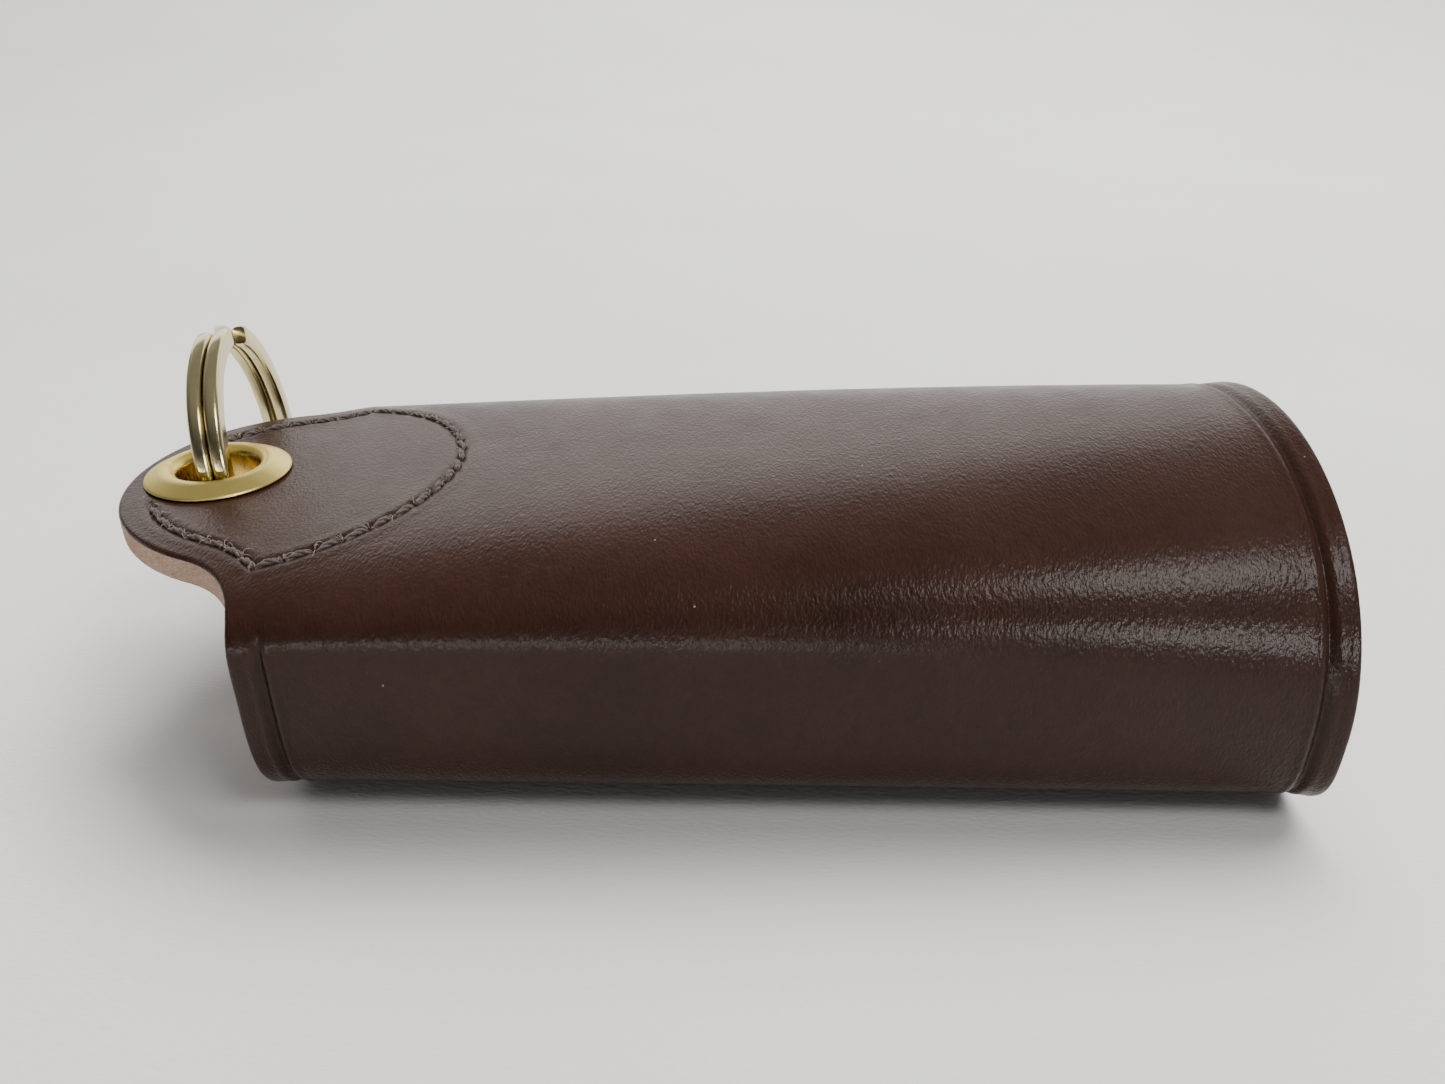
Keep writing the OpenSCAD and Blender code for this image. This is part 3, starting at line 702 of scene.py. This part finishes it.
def relief(points):
    """How far the outer skin stands off its plain section, and how much painted shade its dents get."""
    x, y, z = points[..., 0], points[..., 1], points[..., 2]
    row, hole = row_distance(x, y)
    on_top = smooth(z - 20.5) * (x < -15)
    near_row = on_top * clear_of_eyelet(x, y)
    channel = groove(row, 0.44, 0.24) * near_row
    pits = groove(hole, 0.32, 0.30) * near_row
    swell = groove(np.abs(row - 1.15), 0.7, 0.06) * near_row
    # Crease lines near both ends, with a raised lip on each side
    from_right = X_RIGHT - x
    from_left = x - X_LEFT
    low = smooth((21.8 - z) / 3.5)
    crease = groove(from_right - CREASE_IN, 0.38, 0.30)
    crease = crease + groove(from_left - CREASE_IN, 0.34, 0.28) * low
    lips = groove(np.abs(from_right - CREASE_IN) - 0.85, 0.38, 0.09)
    lips = lips + groove(np.abs(from_left - CREASE_IN) - 0.75, 0.34, 0.13) * low
    flare = 0.26 * smooth((CREASE_IN - 0.5 - from_right) / 1.6)
    flare = flare + 0.20 * smooth((CREASE_IN - 0.5 - from_left) / 1.6) * low * (x >= X_LEFT - 0.1)
    off = lips + swell + flare - channel - pits - crease
    # Painted shade in the stitch channel, the stitch holes and the creases, from 0 to 1
    dark = np.clip(channel * 0.7 + pits * 2.0 + crease * 1.1, 0, 1)
    return off, dark


def eyelet_cut(skin_points):
    """The faces of a grid whose middle lies in the hole for the eyelet, seen from above."""
    p = skin_points
    centre = (p[:-1, :-1] + p[1:, :-1] + p[1:, 1:] + p[:-1, 1:]) / 4
    return np.hypot(centre[..., 0] - EYELET_X, centre[..., 1]) < EYELET_CUT_R


def wrap_piece(name, section, with_tab, free_first):
    """One piece of leather. Its first or its last row is the free edge, the other the seam."""
    points, edge, start = grid_of(section, with_tab)
    normals = grid_normals(points)
    flat = normals.copy()
    flat[..., 0] = 0
    flat /= np.linalg.norm(flat, axis=2, keepdims=True)
    off, dark = relief(points)
    # The free edge of the flap is rounded like the ends; the seam is not
    run = np.linalg.norm(np.diff(points, axis=0), axis=2)
    from_free = np.zeros(edge.shape)
    if free_first:
        from_free[1:] = np.cumsum(run, axis=0)
    else:
        from_free[:-1] = np.cumsum(run[::-1], axis=0)[::-1]
    drop = np.maximum(rounding(edge), rounding(from_free))
    # Over the tab the leather is glued to its reinforcement, so its inner rim stays sharp
    inner = points - flat * (LEATHER_T - drop * (points[..., 0] > X_LEFT + 1))[..., None]
    outer = points + flat * (off - drop)[..., None]
    outer[..., 2] = np.maximum(outer[..., 2], 0)
    # The cut of the tab is square to its plan, though the section's normals lean
    follow = outline(inner[..., 1])[0] - start[:, None]
    fade = np.clip((LOBE_END - points[..., 0]) / (LOBE_END - start[:, None]), 0, 1)
    inner[..., 0] += follow * fade * (start < X_LEFT - 0.01)[:, None]
    hole = None
    if with_tab:
        hole = eyelet_cut(outer) & (outer[:-1, :-1, 2] > LEFT_WAIST)
    verts, faces, kinds, used = thick_sheet(outer, inner, 0.07, hole)
    obj = add_mesh(name, verts, faces, [leather, raw_edge, lining], kinds)
    # The dents' painted shade goes to the leather's material as the dent attribute
    shade = np.zeros(len(used))
    shade[:dark.size] = dark.ravel()
    attribute = obj.data.attributes.new("dent", "FLOAT", "POINT")
    attribute.data.foreach_set("value", shade[used].astype(np.float32))
    return obj


wrap = wrap_piece("leather_wrap", near_rows, with_tab=True, free_first=False)
inner_flap = wrap_piece("leather_inner_flap", far_rows, with_tab=False, free_first=True)


# ---- Inner reinforcement of the tab --------------------------------------------------
def patch_grid():
    rim = PATCH_HALF_W - edge_in[:-1] * 0.5
    inside = np.linspace(PATCH_HALF_W - 0.3, -PATCH_HALF_W + 0.3, 96)
    y = np.concatenate([rim, inside, -rim[::-1]])
    left, nx = outline(y)
    right = LOBE_X + np.sqrt(np.clip(LOBE_R**2 - y**2, 0.01, None))
    right = np.maximum(right, left + 0.1)
    share = np.concatenate([[0, 0.004, 0.012], np.linspace(0.02, 0.98, 90), [0.988, 0.996, 1]])
    x = left[:, None] + (right - left)[:, None] * share[None, :]
    yy = np.broadcast_to(y[:, None], x.shape)
    edge = np.minimum((x - left[:, None]) * nx[:, None], right[:, None] - x)
    return x, yy, edge


def patch_piece():
    x, y, edge = patch_grid()
    z = top_z(x, y)
    drop = rounding(edge * 1.2) * 0.6
    row, hole_at = row_distance(x, y)
    dent = (groove(row, 0.45, 0.22) + groove(hole_at, 0.3, 0.2)) * clear_of_eyelet(x, y)
    upper = np.stack([x, y, z - LEATHER_T + 0.02], -1)
    lower = np.stack([x, y, z - LEATHER_T - PATCH_T + drop + dent], -1)
    verts, faces, kinds, _ = thick_sheet(upper, lower, 0.09, eyelet_cut(upper))
    obj = add_mesh("tab_patch", verts, faces, [raw_edge, raw_edge, lining], kinds)
    return obj


patch = patch_piece()


# ---- Stitches: three twisted plies, sunk at both ends --------------------------------
def stitch(p, q, under):
    steps = 13
    t = np.linspace(0, 1, steps)
    xy = p + (q - p) * mix(0.06, 0.94, t)[:, None]
    side = np.array([-(q - p)[1], (q - p)[0]]) / np.linalg.norm(q - p)
    lean = 0.22 + (rng.random() - 0.5) * 0.2
    xy = xy + side * (lean * (t - 0.5) * 2)[:, None]
    arch = np.sin(np.pi * t) ** 0.55
    surface = top_z(xy[:, 0], xy[:, 1])
    if under:
        z = surface - LEATHER_T - PATCH_T + 0.42 - 0.46 * arch
    else:
        z = surface - 0.55 + (0.53 + 0.08 * rng.random()) * arch
    core = np.column_stack([xy, z])
    turn, phase = 0.9 * 2 * math.pi, rng.random() * 6.28
    parts = []
    for ply in range(3):
        a = phase + ply * 2 * math.pi / 3 + turn * t
        path = core + 0.155 * (np.cos(a)[:, None] * np.array([side[0], side[1], 0])
                              + np.sin(a)[:, None] * np.array([0, 0, 1.0]))
        parts.append(tube(path, 0.175 - 0.03 * (1 - arch), 7))
    return parts


def stitch_pieces():
    top, below = [], []
    for p, q in stitches:
        top += stitch(p, q, False)
        below += stitch(p, q, True)
    rows = add_mesh("stitch_rows", *join(top + below), [thread], sharp=80)
    return rows


def fibre_piece():
    """Frayed ends that stand out of the stitch holes."""
    hairs = []
    for h in holes:
        for _ in range(rng.integers(3, 7)):
            heading = rng.random() * 2 * math.pi
            length = 0.5 + 0.9 * rng.random() ** 2
            t = np.linspace(0, 1, 6)
            bend = heading + (rng.random() - 0.5) * 2.4 * t
            xy = h + np.cumsum(np.column_stack([np.cos(bend), np.sin(bend)]) * length / 6, axis=0)
            rise = 0.05 + (0.18 + 0.3 * rng.random()) * np.sin(np.pi * t**0.8)
            z = top_z(xy[:, 0], xy[:, 1]) - 0.12 * (1 - t) + rise
            hairs.append(tube(np.column_stack([xy, z]), 0.05 * (1 - 0.7 * t), 4, False))
    obj = add_mesh("stitch_fibres", *join(hairs), [frayed], sharp=80)
    return obj


rows_piece = stitch_pieces()
fibres = fibre_piece()


# ---- Eyelet and washer ---------------------------------------------------------------
def eyelet_pieces():
    bore, barrel = EYELET_BORE / 2, EYELET_BORE / 2 + EYELET_WALL
    seat = LEFT_H + 0.12
    bottom = LEFT_H - LEATHER_T - PATCH_T - 0.05 - WASHER_T
    r = EYELET_D / 2
    cone = [[bore, bottom], [barrel, bottom], [barrel, seat], [r - 0.1, seat], [r, seat + 0.13],
            [r - 0.12, seat + 0.32], [bore + 1.45, seat + 1.12], [bore + 0.7, seat + 1.14],
            [bore, seat + 0.5]]
    flange_profile = fillet(cone, [0.1, 0.1, 0, 0.05, 0.12, 0.5, 0.6, 0.5, 0.5], 6)
    verts, faces = lathe(flange_profile, (EYELET_X, 0, 0), 128)
    radii = np.hypot(verts[:, 0] - EYELET_X, verts[:, 1])
    # Faces inside the bore take the brass with painted shade
    kinds = [1 if np.mean(radii[f]) < bore + 0.25 else 0 for f in faces]
    flange = add_mesh("eyelet_body", verts, faces, [satin_brass, bore_brass_painted_shade], kinds)
    washer_profile = fillet([[barrel, bottom - 0.02], [r - 0.6, bottom + 0.1],
                             [r - 0.6, bottom + WASHER_T], [barrel, bottom + WASHER_T]],
                            [0.2, 0.35, 0.1, 0.1], 5)
    washer = add_mesh("eyelet_back_washer", *lathe(washer_profile, (EYELET_X, 0, 0), 128),
                      [satin_brass])
    return flange, washer


eyelet, washer = eyelet_pieces()


# ---- Split ring ----------------------------------------------------------------------
def ring_axes():
    """Directions across the ring, level and down, after its tilt and turn."""
    c, d = math.cos(RING_TILT), math.sin(RING_TILT)
    tilt = np.array([[c, 0, d], [0, 1, 0], [-d, 0, c]])
    c, d = math.cos(RING_YAW), math.sin(RING_YAW)
    turn = np.array([[c, -d, 0], [d, c, 0], [0, 0, 1]])
    return (turn @ tilt).T


def split_ring():
    axis, level, up = ring_axes()
    offset = RING_TURN / 2 + RING_GAP
    mid = RING_R - RING_WIRE / 2
    a, b = RING_WIRE / 2, RING_TURN / 2
    section = fillet([[-a, -b], [a, -b], [a, b], [-a, b]], [0.6] * 4, 5)
    turn, cross = 360 - 2 * CROSS_HALF, 2 * CROSS_HALF
    sweep = np.concatenate([
        np.linspace(0, turn, 150),
        np.linspace(turn, turn + cross, 28)[1:],
        np.linspace(turn + cross, 2 * turn + cross, 150)[1:]])
    angles = np.radians(CROSS_AT + CROSS_HALF + sweep)
    side = mix(-offset, offset, smooth((sweep - turn) / cross))
    centre = np.array([RING_X, RING_Y, RING_Z])
    rings = []
    for k, (angle, c) in enumerate(zip(angles, side)):
        out = math.sin(angle) * level - math.cos(angle) * up
        shrink = 0.86 if k in (0, len(angles) - 1) else 1.0
        rings.append(centre + out * mid + axis * c
                     + section[:, :1] * shrink * out + section[:, 1:] * shrink * axis)
    verts, faces = skin([r[::-1] for r in rings])
    obj = add_mesh("ring_two_turns", verts, faces, [polished_brass], sharp=60)
    return obj


ring = split_ring()

# ---- Key hooks -----------------------------------------------------------------------
HOOK_WIRE, LOOP_W, LOOP_H, STEM_D = 1.4, 6.2, 7.6, 1.6
COLLAR_D, COLLAR_H = 4.0, 1.6


def smooth_path(points, steps=5):
    """Catmull-Rom curve through the points."""
    p = np.asarray(points, float)
    p = np.concatenate([[2 * p[0] - p[1]], p, [2 * p[-1] - p[-2]]])
    out = []
    for k in range(1, len(p) - 2):
        for t in np.linspace(0, 1, steps, endpoint=False):
            a, b, c, d = p[k - 1:k + 3]
            out.append(0.5 * (2 * b + (c - a) * t + (2 * a - 5 * b + 4 * c - d) * t**2
                              + (3 * b - a - 3 * c + d) * t**3))
    out.append(p[-2])
    return np.array(out)


def key_hook(k):
    low, high = (np.array(c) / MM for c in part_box(f"key_hook_{k}"))
    middle = (low + high) / 2
    x, y = middle[0], middle[1]
    collar_z = high[2] - COLLAR_H / 2
    arm, root = (LOOP_W - HOOK_WIRE) / 2 - 0.05, STEM_D / 2 + HOOK_WIRE / 2 + 0.2
    bow = arm + HOOK_WIRE / 2 - LOOP_H
    turn = [[arm * math.cos(a), bow + arm * math.sin(a)] for a in np.linspace(0, -math.pi, 13)]
    main = smooth_path([[root, 0.08], [arm, -0.9]] + turn, 3)
    stub = smooth_path([[-root, 0.08], [-arm + 0.12, -0.45], [-arm, -0.86]], 4)
    place = np.array([x, y, collar_z])
    parts = [tube(np.column_stack([w[:, 0], 0 * w[:, 0], w[:, 1]]) + place, HOOK_WIRE / 2 * 0.98, 16)
             for w in (main, stub)]
    ring = fillet([[STEM_D / 2 + 0.04, -COLLAR_H / 2], [COLLAR_D / 2, -COLLAR_H / 2],
                   [COLLAR_D / 2, COLLAR_H / 2], [STEM_D / 2 + 0.04, COLLAR_H / 2]],
                  [0.1, 0.45, 0.45, 0.1], 4)
    parts.append(lathe(ring, place, 48))
    obj = add_mesh(f"hook_wire_{k}", *join(parts), [nickel], sharp=50)
    return obj


hooks = {k: key_hook(k) for k in range(1, 5)}


# ---- Snaps ---------------------------------------------------------------------------
def lathe_at(node, name, profile, closed):
    """A brass turning on the axis of one of the frame's nodes."""
    low, high = (np.array(c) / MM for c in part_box(node))
    centre = ((low[0] + high[0]) / 2, (low[1] + high[1]) / 2, 0)
    make = lathe if closed else spun
    obj = add_mesh(name, *make(profile, centre), [satin_brass])
    return obj


def snap_pieces(k):
    """Cap and socket clamp the outer flap, stud and post the inner one. Profiles are (radius, z)."""
    t = np.linspace(0, 1, 10)
    cap_top, cap_end = SNAP_LIFT, SNAP_LIFT + LEATHER_T - 0.02
    dome = np.column_stack([CAP_R * np.sin(t * math.pi / 2) ** 0.8, 0.62 * t**5])
    cap = np.concatenate([dome, [[CAP_R, 0.85], [CAP_R - 0.08, 1.0], [CAP_R - 0.3, cap_top],
                                 [1.5, cap_top], [1.5, cap_end], [0, cap_end]]])
    socket = fillet([[2.9, 0.4], [2.9, 1.5], [SOCKET_R, 1.5], [SOCKET_R, 0], [0.9, 0], [0.9, 0.4]],
                    [0.12, 0.3, 0.4, 0.2, 0.1, 0.1], 4) + [0, SNAP_LIFT + LEATHER_T]
    tip, neck_r = FAR_LEVEL - 2.4, BALL_R - 0.3
    plate_low, plate_top = FAR_LEVEL - STUD_PLATE, FAR_LEVEL - 0.02
    stud = np.concatenate([[[0, tip]], fillet(
        [[0.02, tip], [BALL_R - 0.2, tip], [BALL_R, tip + 0.55], [neck_r, tip + 1.2],
         [neck_r, plate_low], [STUD_R, plate_low], [STUD_R, plate_top], [0.02, plate_top]],
        [0, 0.3, 0.3, 0.2, 0.1, 0.25, 0.05, 0], 4), [[0, plate_top]]])
    base = FAR_LEVEL + LEATHER_T + 0.35
    dish = base + 0.55
    post = np.concatenate([[[0, base]], fillet(
        [[0.02, base], [POST_R, base], [POST_R - 0.4, base + POST_RIM - 0.02],
         [1.3, base + POST_RIM], [1.0, dish], [0.02, dish]],
        [0, 0.15, 0.35, 0.1, 0.1, 0], 4), [[0, dish]]])
    rows = [("snap_cap", "cap_dome", cap, False), ("snap_socket", "socket_cup", socket, True),
            ("snap_stud", "stud_ball", stud, False), ("snap_post", "post_eyelet", post, False)]
    return {f"{node}_{k}": lathe_at(f"{node}_{k}", f"{name}_{k}", profile, closed)
            for node, name, profile, closed in rows}


snaps = {**snap_pieces(1), **snap_pieces(2)}

# ---- Bodies, replaced nodes and carried-over nodes -----------------------------------
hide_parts("back_panel", "near_flap")
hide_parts("far_flap")
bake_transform(wrap)
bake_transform(inner_flap)
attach(patch, "case")
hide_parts("tab_reinforcement")
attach(rows_piece, "case")
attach(fibres, "case")
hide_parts("tab_stitching")
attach(eyelet, "case")
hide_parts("eyelet")
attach(washer, "case")
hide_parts("eyelet_washer")
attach(ring, "split_ring")
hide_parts("split_ring")
for k, hook in hooks.items():
    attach(hook, f"key_hook_{k}")
    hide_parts(f"key_hook_{k}")
for node, piece in snaps.items():
    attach(piece, "near_flap" if "cap" in node or "socket" in node else "far_flap")
    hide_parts(node)

kept = {"hook_plate": nickel, "hook_rod": spring_steel, "plate_rivets": satin_brass,
        "snap_spring_1": spring_steel, "snap_spring_2": spring_steel}
kept.update({f"hook_shank_{k}": nickel for k in range(1, 5)})
for node, material in kept.items():
    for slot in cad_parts[node].material_slots:
        slot.material = material


# ---- Floor, light and camera ---------------------------------------------------------
def floor_material():
    material, nodes, links, shader, place = new_material("studio_sheet")
    # Threads run askew under the case
    turn = nodes.new("ShaderNodeMapping")
    turn.inputs["Rotation"].default_value = (0, 0, math.radians(32))
    turn.inputs["Scale"].default_value = (1, 2.6, 1)
    links.new(place, turn.inputs["Vector"])
    weave = noise(nodes, links, turn.outputs["Vector"], 1100, 2, 0.5)
    cloud = noise(nodes, links, place, 9, 3, 0.5)
    tint = ramp(nodes, links, cloud, [(0.3, (0.68, 0.672, 0.66, 1)), (0.7, (0.72, 0.712, 0.70, 1))])
    links.new(tint, shader.inputs["Base Color"])
    shader.inputs["Roughness"].default_value = 0.6
    shader.inputs["Specular IOR Level"].default_value = 0.3
    links.new(bump(nodes, links, weave, 0.00006), shader.inputs["Normal"])
    return material


def sweep_floor():
    """A flat sheet that curves up into a wall far behind the case."""
    reach, turn_y, radius, top = 7000.0, 430.0, 900.0, 1500.0
    profile = [[y, 0.0] for y in np.linspace(-reach, turn_y, 24)]
    profile += [[turn_y + radius * math.sin(a), radius * (1 - math.cos(a))]
                for a in np.linspace(0, math.pi / 2, 24)[1:]]
    profile += [[turn_y + radius, top]]
    xs = np.linspace(-reach, reach, 9)
    verts = [[x, y, z] for y, z in profile for x in xs]
    n = len(xs)
    faces = [[r * n + c, r * n + c + 1, (r + 1) * n + c + 1, (r + 1) * n + c]
             for r in range(len(profile) - 1) for c in range(n - 1)]
    obj = add_mesh("studio_floor", verts, faces, [floor_material()])
    return obj


sweep_floor()


def area_light(name, bearing, rise, distance, size, radiance, colour=(1, 1, 1), in_glossy=True,
               in_diffuse=True):
    """Panel facing the case. The bearing is in degrees from the front (-Y) towards +X, the
    rise in degrees above the table."""
    light = bpy.data.lights.new(name, "AREA")
    light.shape = "RECTANGLE"
    light.size, light.size_y = size
    light.energy = radiance * math.pi * size[0] * size[1]
    light.color = colour
    obj = bpy.data.objects.new(name, light)
    bpy.context.scene.collection.objects.link(obj)
    b, e = math.radians(bearing), math.radians(rise)
    away = Vector((math.sin(b) * math.cos(e), -math.cos(b) * math.cos(e), math.sin(e)))
    obj.location = away * distance
    obj.rotation_euler = (-away).to_track_quat("-Z", "Y").to_euler()
    obj.visible_glossy = in_glossy
    obj.visible_diffuse = in_diffuse
    return obj


area_light("overhead", 143, 63, 1.15, (1.1, 0.55), 13.9, (1.0, 0.985, 0.96), in_glossy=False)
area_light("back_softbox", 180, 29, 1.15, (2.6, 0.50), 1.8)
area_light("front_right", 50, 50, 0.80, (0.26, 0.20), 15.0)
area_light("front_low", -14, 4, 1.0, (0.9, 0.07), 12.0)
area_light("front_window", 34, 18, 1.0, (0.40, 0.14), 18.0, in_diffuse=False)

def soft_room():
    """A pale room: bright behind the case, dimmer overhead, with a low band all round."""
    world = bpy.data.worlds.new("soft_room")
    bpy.context.scene.world = world
    world.use_nodes = True
    nodes, links = world.node_tree.nodes, world.node_tree.links
    direction = nodes.new("ShaderNodeTexCoord")
    split = nodes.new("ShaderNodeSeparateXYZ")
    links.new(direction.outputs["Generated"], split.inputs["Vector"])
    behind = to_range(nodes, links, split.outputs["Y"], -0.2, 0.8, 0.0, 0.9)
    below_top = to_range(nodes, links, split.outputs["Z"], 0.45, 0.85, 1.0, 0.0)
    ceiling = to_range(nodes, links, split.outputs["Z"], 0.45, 0.9, 0.06, 0.34)
    horizon = to_range(nodes, links, split.outputs["Z"], 0.0, 0.3, 0.34, 0.0)
    strength = math_node(nodes, links, "MULTIPLY", behind, below_top)
    strength = math_node(nodes, links, "ADD", strength, ceiling)
    strength = math_node(nodes, links, "ADD", strength, horizon)
    background = nodes["Background"]
    background.inputs["Color"].default_value = (0.98, 0.99, 1.0, 1)
    links.new(strength, background.inputs["Strength"])


soft_room()

CAMERA_AT, CAMERA_DOWN, CAMERA_LEFT = (0.00333, -0.10279, 0.07054), 27.87, 0.32
camera_data = bpy.data.cameras.new("photo_view")
camera_data.sensor_width = 36
camera_data.lens = 27.4
camera_data.clip_start = 0.005
camera = bpy.data.objects.new("photo_view", camera_data)
camera.location = CAMERA_AT
camera.rotation_euler = (math.radians(90 - CAMERA_DOWN), 0, math.radians(CAMERA_LEFT))
bpy.context.scene.collection.objects.link(camera)
bpy.context.scene.camera = camera

bpy.context.view_layer.update()
